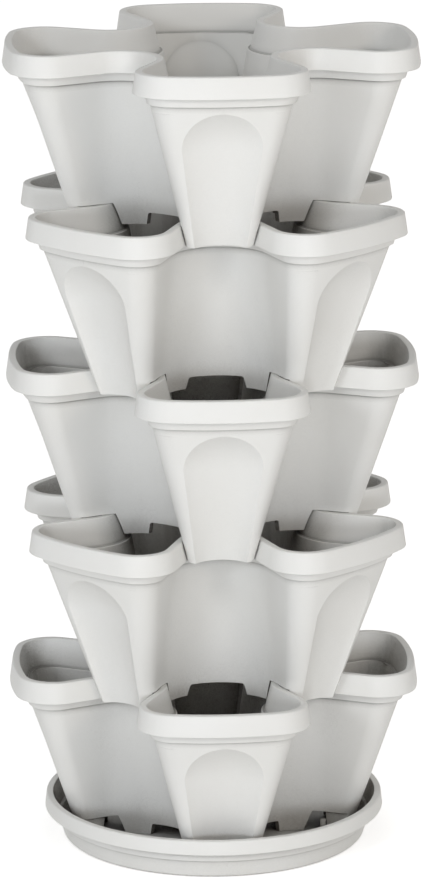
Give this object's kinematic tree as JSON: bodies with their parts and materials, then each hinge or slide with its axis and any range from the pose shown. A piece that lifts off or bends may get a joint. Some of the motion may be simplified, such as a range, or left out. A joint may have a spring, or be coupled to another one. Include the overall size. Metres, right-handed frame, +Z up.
{
  "type": "stacking planter tower",
  "caption": "Free-standing vertical planter: lobed stacking pots nested crosswise on a round drip saucer; each pot lifts off.",
  "frame": {"origin": "middle of the saucer's underside, on the ground", "axes": "+Z up along the tower's axis; the lobes of the bottom, middle and top pots point along X and Y"},
  "size_m": [0.305, 0.305, 0.6051],
  "materials": {
    "stone_grey_plastic": "moulded polypropylene, pale warm stone grey, matt with a faint sheen"
  },
  "bodies": {
    "base": {"saucer": "stone_grey_plastic"},
    "pot_1": {"planter_tier_1": "stone_grey_plastic"},
    "pot_2": {"planter_tier_2": "stone_grey_plastic"},
    "pot_3": {"planter_tier_3": "stone_grey_plastic"},
    "pot_4": {"planter_tier_4": "stone_grey_plastic"},
    "pot_5": {"planter_tier_5": "stone_grey_plastic"}
  },
  "joints": [
    {"name": "lift_pot_1", "type": "slide", "parent": "base", "child": "pot_1", "axis": [0, 0, 1], "range_m": [0, 0.06]},
    {"name": "lift_pot_2", "type": "slide", "parent": "pot_1", "child": "pot_2", "axis": [0, 0, 1], "range_m": [0, 0.06]},
    {"name": "lift_pot_3", "type": "slide", "parent": "pot_2", "child": "pot_3", "axis": [0, 0, 1], "range_m": [0, 0.06]},
    {"name": "lift_pot_4", "type": "slide", "parent": "pot_3", "child": "pot_4", "axis": [0, 0, 1], "range_m": [0, 0.06]},
    {"name": "lift_pot_5", "type": "slide", "parent": "pot_4", "child": "pot_5", "axis": [0, 0, 1], "range_m": [0, 0.06]}
  ]
}
